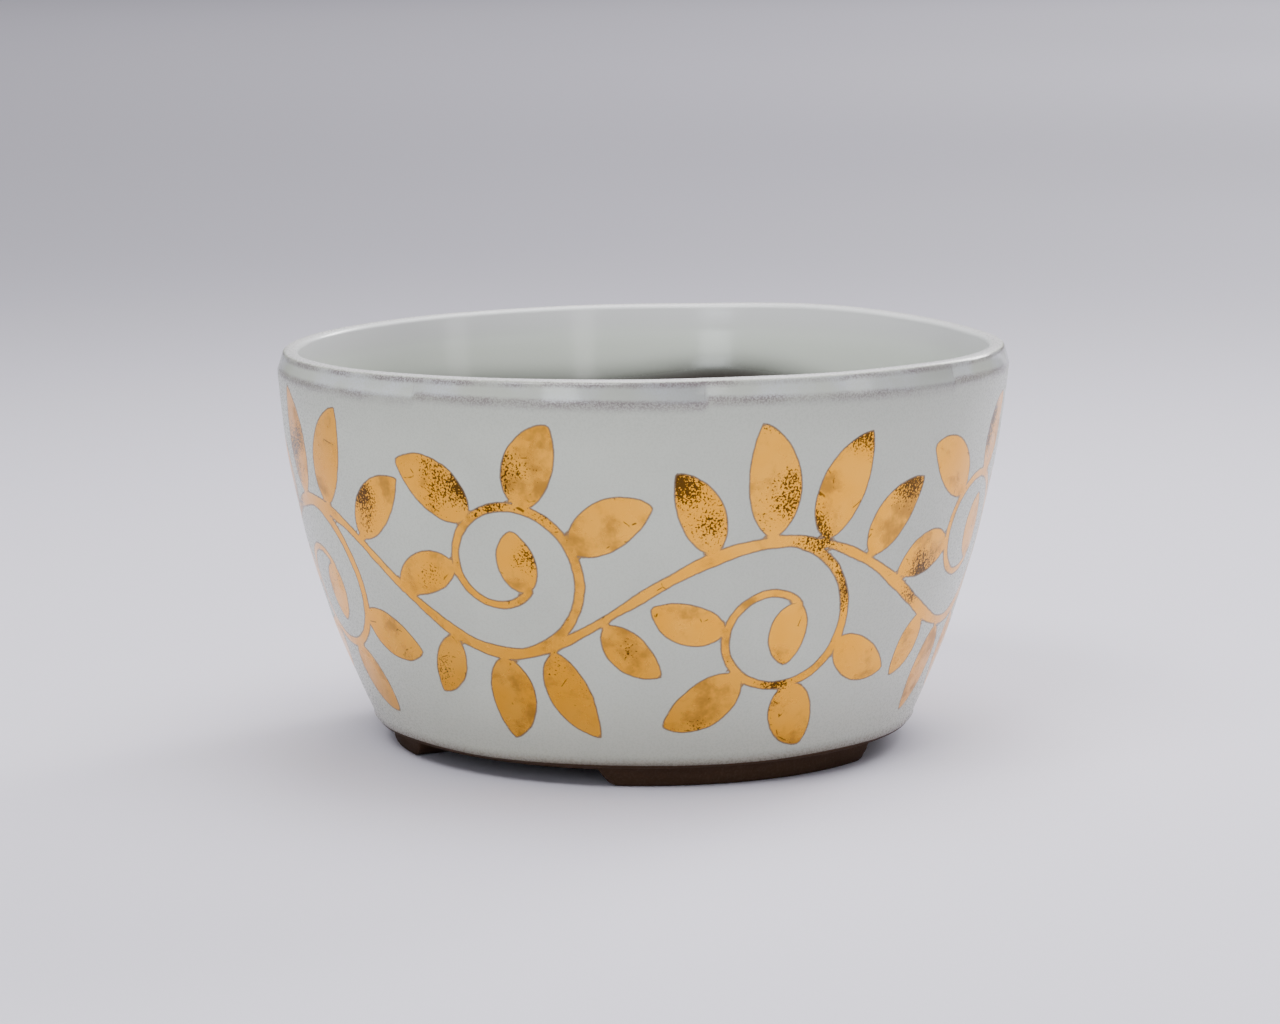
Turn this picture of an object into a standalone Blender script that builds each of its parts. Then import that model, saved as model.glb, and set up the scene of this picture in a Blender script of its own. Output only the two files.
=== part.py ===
"""A wheel-thrown stoneware bowl with a bevelled lip, on a foot ring cut into three short feet.

Metres, +Z up. The origin is the middle of the circle that the feet stand on, and the front is -Y.
"""

import math

import bmesh
import bpy
from mathutils import Vector

# Body
HEIGHT = 0.0837
SHOULDER_DIAMETER = 0.1526
SHOULDER_DROP = 0.0044
BASE_OVERHANG = 0.0039
BASE_UNDERCUT = 0.0014
BASE_CORNER = 0.0012
BELLY_OUT = 0.92
BELLY_UP = 0.50

# Lip
LIP_THICKNESS = 0.0036
BEVEL_HEIGHT = 0.0031
BEVEL_INSET = 0.0009

# Walls
WALL_FOOT_THICKNESS = 0.0060
FLOOR_THICKNESS = 0.0062
FLOOR_DISH = 0.0006
FLOOR_SWEEP = 0.0150

# Foot ring and the three cuts that leave the feet
FOOT_DIAMETER = 0.1052
FOOT_WIDTH = 0.0085
FOOT_HEIGHT = 0.0038
FOOT_FLARE = 0.0007
FOOT_EDGE = 0.0005
FOOT_COUNT = 3
FOOT_ANGLE = math.radians(60.5)
FIRST_FOOT = math.radians(-64.7)
CUT_SLOPE = 0.0040
CUT_ROOT = 0.0004
CUT_MARGIN = 0.0030
CUT_BELOW = 0.0003

# Unevenness of a bowl shaped by hand: the lip slopes and warps, with one pressed side and a soft corner
LIP_SLOPE = 0.012
LIP_WARP = 0.00034
BODY_BOW = 0.0004
PRESSED_DEPTH = 0.0016
PRESSED_ANGLE = math.radians(16.0)
PRESSED_SPREAD = math.radians(10.0)
CORNER_RISE = 0.0008
CORNER_ANGLE = math.radians(57.0)
CORNER_SPREAD = math.radians(13.0)

# How finely the round shapes are divided
TURN_STEPS = 72
WALL_STEPS = 12
LIP_STEPS = 8
SWEEP_STEPS = 5
CUT_STEPS = 10
CUT_LEVELS = 5

shoulder_radius = SHOULDER_DIAMETER / 2
shoulder_height = HEIGHT - SHOULDER_DROP
foot_radius = FOOT_DIAMETER / 2
base_radius = foot_radius + BASE_OVERHANG
base_height = FOOT_HEIGHT + BASE_UNDERCUT
floor_height = FOOT_HEIGHT + FLOOR_THICKNESS
bevel_top = Vector((shoulder_radius - BEVEL_INSET, shoulder_height + BEVEL_HEIGHT))
lip_inner_radius = bevel_top.x - LIP_THICKNESS


def outer_wall(share):
    """The wall's outside as (radius, height), from the base corner at 0 to the shoulder at 1."""
    leaving = 3 * share * (1 - share) ** 2
    arriving = 3 * share ** 2 * (1 - share) + share ** 3
    flare = shoulder_radius - base_radius
    rise = shoulder_height - base_height
    radius = base_radius + flare * (BELLY_OUT * leaving + arriving)
    height = base_height + rise * (BELLY_UP * leaving + arriving)
    return Vector((radius, height))


def inner_wall(share):
    """The wall's inside, square to its outside by a thickness that grows towards the foot."""
    step = 0.001
    along = outer_wall(min(share + step, 1)) - outer_wall(max(share - step, 0))
    inward = Vector((-along.y, along.x)).normalized()
    lip_wall = shoulder_radius - lip_inner_radius
    thickness = WALL_FOOT_THICKNESS + (lip_wall - WALL_FOOT_THICKNESS) * share
    return outer_wall(share) + inward * thickness


def floor_sweep(start, direction):
    """The curve that takes the inside of the wall down and round into the floor."""
    drop = start.y - floor_height
    corner = start + direction * (drop / -direction.y)
    end = Vector((corner.x - (start - corner).length, floor_height))
    points = []
    for step in range(1, SWEEP_STEPS + 1):
        share = step / SWEEP_STEPS
        points.append(start.lerp(corner, share).lerp(corner.lerp(end, share), share))
    return points


def inside_points():
    """From the middle of the floor, up the inside of the wall."""
    shares = [step / WALL_STEPS for step in range(WALL_STEPS, -1, -1)]
    wall = [inner_wall(share) for share in shares if inner_wall(share).y > floor_height + FLOOR_SWEEP]
    sweep = floor_sweep(wall[-1], (wall[-1] - wall[-2]).normalized())
    middle = Vector((0, floor_height - FLOOR_DISH))
    return [middle] + sweep[::-1] + wall[::-1]


def lip_points():
    """Over the rounded lip, from its inner side to the top of the outer bevel."""
    middle = (lip_inner_radius + bevel_top.x) / 2
    half = LIP_THICKNESS / 2
    rise = HEIGHT - bevel_top.y
    points = []
    for step in range(LIP_STEPS + 1):
        turn = math.pi * (1 - step / LIP_STEPS)
        points.append(Vector((middle + half * math.cos(turn), bevel_top.y + rise * math.sin(turn))))
    return points


def outside_points():
    """Down the outside of the wall from the shoulder, and in under the base to the foot ring."""
    wall = [outer_wall(1 - step / WALL_STEPS) for step in range(WALL_STEPS + 1)]
    corner = Vector((base_radius - BASE_CORNER, base_height - BASE_CORNER * 0.8))
    return wall + [corner]


def foot_points():
    """Round the foot ring and in along the underside to the middle."""
    inner = foot_radius - FOOT_WIDTH
    return [
        Vector((foot_radius + FOOT_FLARE, FOOT_HEIGHT)),
        Vector((foot_radius + FOOT_EDGE * 0.2, FOOT_EDGE)),
        Vector((foot_radius - FOOT_EDGE, 0)),
        Vector((inner + FOOT_EDGE, 0)),
        Vector((inner - FOOT_EDGE * 0.2, FOOT_EDGE)),
        Vector((inner - FOOT_FLARE, FOOT_HEIGHT)),
        Vector((0, FOOT_HEIGHT)),
    ]


def turned_mesh(name, points):
    """A mesh turned about the Z axis from a profile of (radius, height) points."""
    mesh = bpy.data.meshes.new(name + "_profile")
    edges = [(index, index + 1) for index in range(len(points) - 1)]
    mesh.from_pydata([(point.x, 0, point.y) for point in points], edges, [])
    profile = bpy.data.objects.new(name + "_profile", mesh)
    bpy.context.scene.collection.objects.link(profile)
    screw = profile.modifiers.new("Turn", "SCREW")
    screw.axis = "Z"
    screw.steps = TURN_STEPS
    screw.render_steps = TURN_STEPS
    screw.use_merge_vertices = True
    screw.merge_threshold = 0.00001
    screw.use_smooth_shade = True
    depsgraph = bpy.context.evaluated_depsgraph_get()
    turned = bpy.data.meshes.new_from_object(profile.evaluated_get(depsgraph))
    bpy.data.objects.remove(profile)
    return turned


def bump(angle, centre, spread):
    """A smooth hill of height 1 round the circle."""
    away = math.remainder(angle - centre, math.tau)
    return math.exp(-0.5 * (away / spread) ** 2)


def hand_shaped(point):
    """Where a point of the true turned body lies on the hand-shaped one."""
    share = min(max((point.z - base_height) / (HEIGHT - base_height), 0), 1)
    angle = math.atan2(point.y, point.x)
    radius = math.hypot(point.x, point.y)
    reach = radius / shoulder_radius
    pressed = PRESSED_DEPTH * bump(angle, PRESSED_ANGLE, PRESSED_SPREAD)
    radius -= pressed * reach * share ** 2
    corner = CORNER_RISE * bump(angle, CORNER_ANGLE, CORNER_SPREAD)
    warp = LIP_WARP * math.cos(2 * angle)
    rise = (LIP_SLOPE * point.x + (corner - warp) * reach) * share ** 2
    bow = BODY_BOW * math.sin(math.pi * share)
    return Vector((radius * math.cos(angle) - bow, radius * math.sin(angle), point.z + rise))


def clay_material():
    """Dark stoneware under a pale, satin celadon glaze."""
    material = bpy.data.materials.new("Celadon stoneware")
    material.use_nodes = True
    shader = material.node_tree.nodes["Principled BSDF"]
    shader.inputs["Base Color"].default_value = (0.50, 0.51, 0.48, 1)
    shader.inputs["Roughness"].default_value = 0.32
    shader.inputs["Metallic"].default_value = 0.0
    material.diffuse_color = (0.50, 0.51, 0.48, 1)
    return material


def make_body(collection):
    """The whole turned and hand-shaped body, its foot ring still uncut."""
    points = inside_points() + lip_points() + outside_points() + foot_points()
    mesh = turned_mesh("bowl", points)
    for vertex in mesh.vertices:
        vertex.co = hand_shaped(vertex.co)
    mesh.name = "bowl"
    mesh.materials.append(clay_material())
    body = bpy.data.objects.new("bowl", mesh)
    collection.objects.link(body)
    return body


def cut_end(climb):
    """Half a cut's angle and its height, from the floor at climb 0 up its S-shaped end to its top at 1."""
    at_floor = (math.tau / FOOT_COUNT - FOOT_ANGLE) / 2
    half_angle = at_floor - climb * CUT_SLOPE / foot_radius
    eased = climb * climb * (3 - 2 * climb)
    height = eased * (FOOT_HEIGHT - CUT_ROOT) - (1 - eased) * CUT_BELOW
    return half_angle, height


def make_cut(collection, number):
    """One cutter: a box bent round the axis between two feet."""
    inner = foot_radius - FOOT_WIDTH - CUT_MARGIN
    outer = foot_radius + CUT_MARGIN
    middle = FIRST_FOOT + (number + 0.5) * math.tau / FOOT_COUNT
    shape = bmesh.new()
    bmesh.ops.create_cube(shape, size=1)
    along = [edge for edge in shape.edges if abs(edge.verts[0].co.x - edge.verts[1].co.x) > 0.5]
    bmesh.ops.subdivide_edges(shape, edges=along, cuts=CUT_STEPS, use_grid_fill=True)
    upright = [edge for edge in shape.edges if abs(edge.verts[0].co.z - edge.verts[1].co.z) > 0.5]
    bmesh.ops.subdivide_edges(shape, edges=upright, cuts=CUT_LEVELS, use_grid_fill=True)
    for vertex in shape.verts:
        half_angle, height = cut_end(vertex.co.z + 0.5)
        radius = inner + (outer - inner) * (vertex.co.y + 0.5)
        angle = middle - 2 * vertex.co.x * half_angle
        vertex.co = (radius * math.cos(angle), radius * math.sin(angle), height)
    mesh = bpy.data.meshes.new(f"foot_cut_{number + 1}")
    shape.to_mesh(mesh)
    shape.free()
    cut = bpy.data.objects.new(mesh.name, mesh)
    cut.hide_render = True
    cut.display_type = "WIRE"
    collection.objects.link(cut)
    return cut


def main():
    """Clear the scene and build the bowl."""
    for item in list(bpy.data.objects):
        bpy.data.objects.remove(item, do_unlink=True)
    parts = bpy.data.collections.new("Bowl")
    cutters = bpy.data.collections.new("Cutters")
    bpy.context.scene.collection.children.link(parts)
    bpy.context.scene.collection.children.link(cutters)
    body = make_body(parts)
    for number in range(FOOT_COUNT):
        cut = body.modifiers.new(f"Foot cut {number + 1}", "BOOLEAN")
        cut.operation = "DIFFERENCE"
        cut.solver = "EXACT"
        cut.object = make_cut(cutters, number)


main()
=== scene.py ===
"""A footed stoneware bowl in satin celadon glaze, painted with a vine scroll in gold lustre.

The bowl's form is turned from one profile and then made uneven by hand. The glaze, the lustre and the
bare clay are one surface, told apart by distances in millimetres that each vertex carries.
"""

import math
import random

import bpy
import numpy as np
from bpy.props import FloatProperty, FloatVectorProperty, IntProperty, PointerProperty
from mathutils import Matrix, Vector


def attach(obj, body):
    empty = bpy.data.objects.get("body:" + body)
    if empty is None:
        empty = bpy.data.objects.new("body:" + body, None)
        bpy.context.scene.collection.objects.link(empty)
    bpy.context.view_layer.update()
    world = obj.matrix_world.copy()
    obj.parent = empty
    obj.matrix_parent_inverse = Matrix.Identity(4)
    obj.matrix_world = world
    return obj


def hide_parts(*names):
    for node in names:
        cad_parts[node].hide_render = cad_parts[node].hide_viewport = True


bl_info = {
    "name": "Gilded Stoneware Bowl",
    "version": (1, 0, 0),
    "blender": (4, 5, 0),
    "location": "3D View > Sidebar > Bowl",
    "description": "A thrown stoneware bowl with celadon glaze and a gold lustre vine scroll",
    "category": "Object",
}

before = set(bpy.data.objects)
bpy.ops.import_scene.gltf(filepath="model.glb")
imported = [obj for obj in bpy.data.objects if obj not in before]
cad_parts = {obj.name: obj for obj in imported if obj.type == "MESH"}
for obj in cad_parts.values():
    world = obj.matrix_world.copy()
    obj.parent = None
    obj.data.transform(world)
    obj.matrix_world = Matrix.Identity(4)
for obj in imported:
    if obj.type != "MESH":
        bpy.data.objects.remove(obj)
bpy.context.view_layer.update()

MM = 0.001

# The body's sizes in millimetres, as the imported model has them
HEIGHT = 83.7
SHOULDER_RADIUS = 76.3
SHOULDER_DROP = 4.4
FOOT_RADIUS = 52.6
BASE_OVERHANG = 3.9
BASE_UNDERCUT = 1.4
BASE_CORNER = 1.2
BELLY_OUT = 0.92
BELLY_UP = 0.50
LIP_THICKNESS = 3.6
BEVEL_HEIGHT = 3.1
BEVEL_INSET = 0.9
WALL_FOOT_THICKNESS = 6.0
FLOOR_THICKNESS = 6.2
FLOOR_DISH = 0.6
FLOOR_SWEEP = 15.0
FOOT_WIDTH = 8.5
FOOT_HEIGHT = 3.8
FOOT_FLARE = 0.7
FOOT_EDGE = 0.5
FOOT_COUNT = 3
FOOT_ANGLE = math.radians(60.5)
FIRST_FOOT = math.radians(-64.7)
CUT_SLOPE = 4.0
CUT_ROOT = 0.4
LIP_SLOPE = 0.012
LIP_WARP = 0.34
BODY_BOW = 0.4
PRESSED_DEPTH = 1.6
PRESSED_ANGLE = math.radians(16.0)
PRESSED_SPREAD = math.radians(10.0)
CORNER_RISE = 0.8
CORNER_ANGLE = math.radians(57.0)
CORNER_SPREAD = math.radians(13.0)

BASE_RADIUS = FOOT_RADIUS + BASE_OVERHANG
BASE_HEIGHT = FOOT_HEIGHT + BASE_UNDERCUT
SHOULDER_HEIGHT = HEIGHT - SHOULDER_DROP
BEVEL_TOP = (SHOULDER_RADIUS - BEVEL_INSET, SHOULDER_HEIGHT + BEVEL_HEIGHT)
LIP_INNER_RADIUS = BEVEL_TOP[0] - LIP_THICKNESS
LIP_MIDDLE = (LIP_INNER_RADIUS + BEVEL_TOP[0]) / 2
FLOOR_HEIGHT = FOOT_HEIGHT + FLOOR_THICKNESS

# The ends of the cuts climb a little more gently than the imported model's, in a curve of this power
CUT_STEEPNESS = 0.9
CUT_CURVE = 2.3

# How finely the surface is divided: columns round it, rows on the wall, and millimetres between other rows
COLUMNS = 576
WALL_ROWS = 104
BEVEL_SPACING = 0.65
LIP_SPACING = 0.42
INSIDE_SPACING = 1.3
DEEP_SPACING = 5.5
DEEP_FROM = 26.0
FLOOR_RINGS = (0.66, 0.33, 0)

# How many points each curve of the profile is drawn with, before its rows are spaced
WALL_POINTS = 400
LIP_POINTS = 60
INSIDE_POINTS = 200
SWEEP_POINTS = 40

# Rows of the profile on the foot ring, which the cuts between the feet lift
FOOT_ROWS = slice(4, 12)

# Relief in millimetres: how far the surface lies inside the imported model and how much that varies,
# the ripple that throwing leaves, and the bead that the glaze ends in
SURFACE_EASE = 0.14
SURFACE_UNEVEN = 0.05
THROWN_DEPTH = 0.05
THROWN_LENGTH = 3.1
BEAD_HEIGHT = 0.22
BEAD_PLACE = 0.7
BEAD_SPREAD = 0.6
# Many waves together seldom reach their full height, so their sum is raised by this much
RIPPLE_GAIN = 1.8

# How the surface is laid out flat, in shares of a square
STRIPS = 3
STRIP_SHARE = 0.6
STRIP_MARGIN = 0.01
DISC_RADIUS = 0.19
UNDER_CENTRE = (0.8, 0.75)
INSIDE_CENTRE = (0.8, 0.25)

# Where the glaze stops, in millimetres along the profile
OUTER_BARE = 0.1
INNER_GLAZED = 19.6
INNER_TIDE = 3.9
INNER_TIDE_ANGLE = math.radians(73)
INNER_TIDE_SPREAD = math.radians(13.0)
INNER_LEAN = 2.5

# The lip's bevel is cut in strokes, each ending in a small step. The shades say how much painted shade
# darkens the glaze on each stroke, as its facet turns from the light, and the lengths are in millimetres
STROKE_SHADES = (0.7, 0.9, 0.3, 0.6, 0.2, 0.5, 0.0, 0.9)
BEVEL_STROKES = len(STROKE_SHADES)
BEVEL_FIRST = math.radians(-81.0)
BEVEL_CENTRE = 1.4
BEVEL_SPREAD = 1.3
STROKE_DEPTH = 0.12
STROKE_STEP = 0.35
STEP_WIDTH = 0.8

# Millimetres between the rings that throwing leaves in the clay inside
THROWING_PITCH = 4.2

# The scroll's sizes in millimetres
SCROLL_MIDDLE = 38.5
SCROLL_SWING = 12.5
SCROLL_REACH = 18.6
SCROLL_HEART = 7.0
SCROLL_SEED = 11
MEAN_RADIUS = 71.0
STEM_STEPS = 900
CURL_STEPS = 200
# Degrees where a curl leaves the stem, and how far round it goes
CURL_START = -88
CURL_TURN = 395
# Leaves on a curl: place round it, heading, length, half width
CURL_LEAVES = (
    (14, 36, 17.0, 4.9),
    (68, 74, 16.5, 5.0),
    (128, 134, 19.0, 5.2),
    (184, 194, 15.5, 4.4),
)
# Leaves on a crest of the stem: place along it, heading, length, half width
CREST_LEAVES = (
    (-14, 108, 16.0, 4.3),
    (-3, 92, 22.0, 5.2),
    (9, 72, 22.0, 5.2),
    (20, 50, 17.0, 4.4),
)
# The leaf at the heart of a curl: length, half width
HEART_LEAF = (12.5, 4.1)
LEAF_STEP = 0.4
STALK_HALF = 0.7
TIP_HALF = 0.15

# Distance to the gold and tone of the gold, where there is none near
FAR_FROM_GOLD = 9.0
MIDDLE_TONE = 0.5
# Points of a stroke that are measured at once, and how far beyond its edge in millimetres
RUN_LENGTH = 60
EDGE_REACH = 3

CAMERA_PLACE = (-0.0008, -0.8, 0.1697)
CAMERA_PITCH = math.radians(90 - 8.71)
CAMERA_LENS = 108.24
SENSOR_WIDTH = 36.0

FLOOR_RADIUS = 12.0
BOWL_AIM = (0, 0, 0.05)
WHITE = (1.0, 1.0, 1.0)
LILAC_WHITE = (1.0, 0.99, 1.0)
SKYLIGHT = (0.9, 0.96, 1.0)

# Soft lights: name, place, aim, width and height, whose power it shares and how much, spread, colour
LIGHTS = (
    ("overhead_softbox", (0.26, 0.17, 1.0), (0.24, 0, 0), (1.0, 1.0), "key_power", 1.0, 95, LILAC_WHITE),
    ("front_softbox", (-0.65, -0.95, 1.5), BOWL_AIM, (1.1, 0.6), "fill_power", 0.325, 80, WHITE),
    ("left_window", (-1.2, -2.4, 1.0), BOWL_AIM, (0.55, 1.1), "fill_power", 0.9, 180, SKYLIGHT),
    ("right_window", (0.95, -2.5, 0.7), BOWL_AIM, (0.35, 1.3), "fill_power", 0.35, 180, WHITE),
    ("side_window", (2.4, -0.9, 0.6), BOWL_AIM, (0.4, 1.0), "fill_power", 0.25, 180, WHITE),
    ("back_window", (0.8, 1.1, 0.8), (0.4, 1.1, 0), (0.5, 0.5), "far_power", 0.014, 180, LILAC_WHITE),
    ("middle_window", (2.3, 3.0, 1.6), (0.6, 2.8, 0), (1.0, 1.0), "far_power", 0.13, 180, LILAC_WHITE),
    ("far_window", (4.7, 6.2, 3.2), (1.2, 6.6, 0), (3.0, 4.0), "far_power", 1.0, 180, LILAC_WHITE),
)


def linear(code):
    """An sRGB hex colour as linear red, green and blue."""
    values = []
    for start in (1, 3, 5):
        share = int(code[start:start + 2], 16) / 255
        values.append(share / 12.92 if share <= 0.04045 else ((share + 0.055) / 1.055) ** 2.4)
    return tuple(values)


def colour_property(name, description, code):
    """A colour setting whose default is an sRGB hex value."""
    return FloatVectorProperty(
        name=name, description=description, default=linear(code), subtype="COLOR", min=0, max=1, size=3
    )


def power_property(name, description, watts):
    """A light's power as a setting."""
    return FloatProperty(name=name, description=description, default=watts, min=0, unit="POWER")


class BowlFinish(bpy.types.PropertyGroup):
    """Colours and sizes of the glaze, the gold and the clay."""

    glaze: colour_property("Glaze", "Satin celadon glaze over the wall", "#C0C4B7")
    # Partly painted shade: the low glaze stands for the shade on the lower wall, and partly for a brown tinge
    # where the glaze runs thinner.
    low_glaze_and_shade: colour_property("Low glaze", "Darker glaze towards the foot", "#AFB0A2")
    glaze_thin: colour_property("Thin glaze", "Glaze where it runs thin over the lip", "#DAD8DA")
    # Painted light: a paler copy of the wall glaze that brightens the inside of the bowl; deeper down it
    # gives way to the wall glaze as painted shade.
    lit_inner_glaze: colour_property("Inner glaze", "Paler glaze that pooled inside the bowl", "#E9F0E6")
    # Painted highlight: near-white glaze just inside the lip, where the lip's highlight spreads.
    lip_highlight_glaze: colour_property("Inner lip glaze", "Whitish glaze just inside the lip", "#F0F2F2")
    glaze_band: colour_property("Bevel glaze", "Bluish glaze on the bevel", "#CACED2")
    # Painted shade: grey for the bevel's strokes that face away from the light.
    facet_shade: colour_property("Grey bevel glaze", "Greyer glaze on some strokes of the bevel", "#8E908F")
    glaze_break: colour_property("Breaking glaze", "Dark line where clay shows at an edge", "#776C6E")
    glaze_fade: colour_property("Fading glaze", "Brown tinge at the glaze's lower edge", "#6A6054")
    gold: colour_property("Gold", "Fired gold lustre", "#E69F26")
    gold_pale: colour_property("Pale gold", "Gold where the lustre is thickest", "#F0B44C")
    tarnish: colour_property("Tarnish", "Gold where it is thin or dulled", "#9A6C2C")
    # Painted reflection: dark grains in the gold stand for dark surroundings mirrored in it, more towards the
    # top of the wall; the same colour marks real scratches and pits.
    dark_reflection_and_flaws: colour_property("Burnt gold", "Grains where the gold has burnt dark", "#2E2010")
    outline: colour_property("Outline", "Dark edge round the gold", "#6E5C48")
    glaze_edge: colour_property("Inner edge", "Thin glaze at the glaze's end inside", "#5F605A")
    clay: colour_property("Clay", "Dark stoneware left bare", "#3E2C1F")
    clay_inside: colour_property("Inner clay", "Bare stoneware inside, smoked grey", "#443F3D")
    waves: IntProperty(name="Waves", description="Waves of the vine round the bowl", default=4, min=2, max=9)
    stem_width: FloatProperty(
        name="Stem width", description="Width of the main stem", default=2.3 * MM, min=0, unit="LENGTH"
    )


class BowlStage(bpy.types.PropertyGroup):
    """Floor and light."""

    paper: colour_property("Paper", "Pale floor", "#E2DFEC")
    sky: colour_property("Room", "Light of the room", "#FCFCFF")
    sky_strength: FloatProperty(
        name="Room light", description="Strength of the room light", default=0.27, min=0
    )
    key_power: power_property("Key light", "Overhead softbox", 5.9)
    fill_power: power_property("Fill light", "Windows and softbox behind the camera", 14.0)
    far_power: power_property("Far light", "Windows that light the background", 320.0)


def add_node(tree, kind, inputs=None, **settings):
    """Adds one node, sets its properties, and gives each input a value or a link."""
    node = tree.nodes.new(kind)
    for name, value in settings.items():
        setattr(node, name, value)
    for key, value in (inputs or {}).items():
        if isinstance(value, bpy.types.NodeSocket):
            tree.links.new(value, node.inputs[key])
        else:
            node.inputs[key].default_value = value
    return node


def maths(tree, operation, first, second=0.0):
    """Two numbers joined by a Math node."""
    return add_node(tree, "ShaderNodeMath", {0: first, 1: second}, operation=operation).outputs[0]


def outer_wall(share):
    """The wall's outside as (radius, height), from the base corner at 0 to the shoulder at 1."""
    leaving = 3 * share * (1 - share) ** 2
    arriving = 3 * share ** 2 * (1 - share) + share ** 3
    radius = BASE_RADIUS + (SHOULDER_RADIUS - BASE_RADIUS) * (BELLY_OUT * leaving + arriving)
    height = BASE_HEIGHT + (SHOULDER_HEIGHT - BASE_HEIGHT) * (BELLY_UP * leaving + arriving)
    return np.array((radius, height))


def inner_wall(share):
    """The wall's inside, square to its outside by a thickness that grows towards the foot."""
    step = 0.001
    along = outer_wall(min(share + step, 1)) - outer_wall(max(share - step, 0))
    inward = np.array((-along[1], along[0])) / np.hypot(*along)
    thickness = WALL_FOOT_THICKNESS + (SHOULDER_RADIUS - LIP_INNER_RADIUS - WALL_FOOT_THICKNESS) * share
    return outer_wall(share) + inward * thickness


def distance_along(line):
    """How far along a line each of its points lies."""
    return np.concatenate(([0], np.cumsum(np.hypot(*np.diff(line, axis=0).T))))


def evenly(points, spacing):
    """The same line, with its points a given distance apart."""
    line = np.array(points)
    length = distance_along(line)
    count = max(int(round(length[-1] / spacing)), 1)
    marks = np.linspace(0, length[-1], count + 1)
    return np.stack([np.interp(marks, length, line[:, axis]) for axis in (0, 1)], 1)


def lip_line():
    """Over the rounded lip, from the top of the outer bevel to the inner side."""
    turns = np.linspace(0, math.pi, LIP_POINTS)
    radius = LIP_MIDDLE + LIP_THICKNESS / 2 * np.cos(turns)
    height = BEVEL_TOP[1] + (HEIGHT - BEVEL_TOP[1]) * np.sin(turns)
    return np.stack([radius, height], 1)


def inside_line():
    """Down the inside of the wall from the lip and round into the floor."""
    wall = [inner_wall(share) for share in np.linspace(1, 0, INSIDE_POINTS)]
    wall = [point for point in wall if point[1] > FLOOR_HEIGHT + FLOOR_SWEEP]
    start = wall[-1]
    direction = wall[-1] - wall[-2]
    direction = direction / np.hypot(*direction)
    corner = start + direction * ((start[1] - FLOOR_HEIGHT) / -direction[1])
    end = np.array((corner[0] - np.hypot(*(start - corner)), FLOOR_HEIGHT))
    shares = np.linspace(0, 1, SWEEP_POINTS)[1:, None]
    leaving = start + (corner - start) * shares
    arriving = corner + (end - corner) * shares
    return np.concatenate([wall, leaving * (1 - shares) + arriving * shares])


def foot_line():
    """From the middle of the underside, out round the foot ring to the base corner."""
    inner = FOOT_RADIUS - FOOT_WIDTH
    return [
        (0, FOOT_HEIGHT),
        (inner / 2, FOOT_HEIGHT),
        (inner - FOOT_FLARE - 0.8, FOOT_HEIGHT),
        (inner - FOOT_FLARE, FOOT_HEIGHT),
        (inner - FOOT_EDGE * 0.2, FOOT_EDGE),
        (inner + FOOT_EDGE * 0.2, FOOT_EDGE * 0.2),
        (inner + FOOT_EDGE, 0),
        (FOOT_RADIUS - FOOT_EDGE, 0),
        (FOOT_RADIUS - FOOT_EDGE * 0.2, FOOT_EDGE * 0.2),
        (FOOT_RADIUS + FOOT_EDGE * 0.2, FOOT_EDGE),
        (FOOT_RADIUS + FOOT_FLARE * 0.5, FOOT_HEIGHT * 0.5),
        (FOOT_RADIUS + FOOT_FLARE, FOOT_HEIGHT),
        (BASE_RADIUS - BASE_CORNER, BASE_HEIGHT - BASE_CORNER * 0.8),
        (BASE_RADIUS - BASE_CORNER * 0.35, BASE_HEIGHT - BASE_CORNER * 0.5),
    ]


class Profile:
    """The line that the bowl is turned from, from the underside's middle to the floor's middle."""

    def __init__(self):
        foot = np.array(foot_line())
        wall = evenly([outer_wall(share) for share in np.linspace(0, 1, WALL_POINTS)], 1)
        wall = evenly(wall, distance_along(wall)[-1] / WALL_ROWS)
        bevel = evenly([(SHOULDER_RADIUS, SHOULDER_HEIGHT), BEVEL_TOP], BEVEL_SPACING)[1:-1]
        lip = evenly(lip_line(), LIP_SPACING)
        inside = inside_line()
        length = distance_along(inside)
        upper = evenly(inside[length < DEEP_FROM], INSIDE_SPACING)
        lower = evenly(inside[length >= DEEP_FROM], DEEP_SPACING)
        rings = np.array(FLOOR_RINGS)
        floor = np.stack([lower[-1][0] * rings, FLOOR_HEIGHT - FLOOR_DISH * (1 - rings ** 2)], 1)
        self.points = np.concatenate([foot, wall, bevel, lip, upper[1:], lower, floor])
        self.along = distance_along(self.points)
        self.rows = len(self.points)
        self.wall_first = len(foot)
        self.wall_last = len(foot) + len(wall) - 1
        self.bevel_top = self.wall_last + len(bevel) + 1
        self.crest = self.bevel_top + int(np.argmin(np.abs(lip[:, 0] - LIP_MIDDLE)))
        self.lip_last = self.bevel_top + len(lip) - 1
        across = np.gradient(self.points, axis=0)
        across /= np.hypot(*across.T)[:, None]
        self.normals = np.stack([across[:, 1], -across[:, 0]], 1)


def column_angles():
    """The angle round the bowl of each column of the surface."""
    return np.arange(COLUMNS) * math.tau / COLUMNS


def bump(angle, centre, spread):
    """A smooth hill of height 1 round the circle."""
    away = (angle - centre + math.pi) % math.tau - math.pi
    return np.exp(-0.5 * (away / spread) ** 2)


def ripple(angle, along, seed, size, count=14):
    """Smooth waves of about a given size in millimetres, between -1 and 1, that close round the bowl."""
    draw = random.Random(seed)
    total = np.zeros(np.broadcast(angle, along).shape)
    for _ in range(count):
        turns = draw.randint(1, max(int(2 * MEAN_RADIUS * math.pi / size), 1))
        climb = draw.uniform(-1, 1) * math.tau / size
        total = total + np.cos(turns * angle + climb * along + draw.uniform(0, math.tau))
    return total / count * RIPPLE_GAIN


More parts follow.
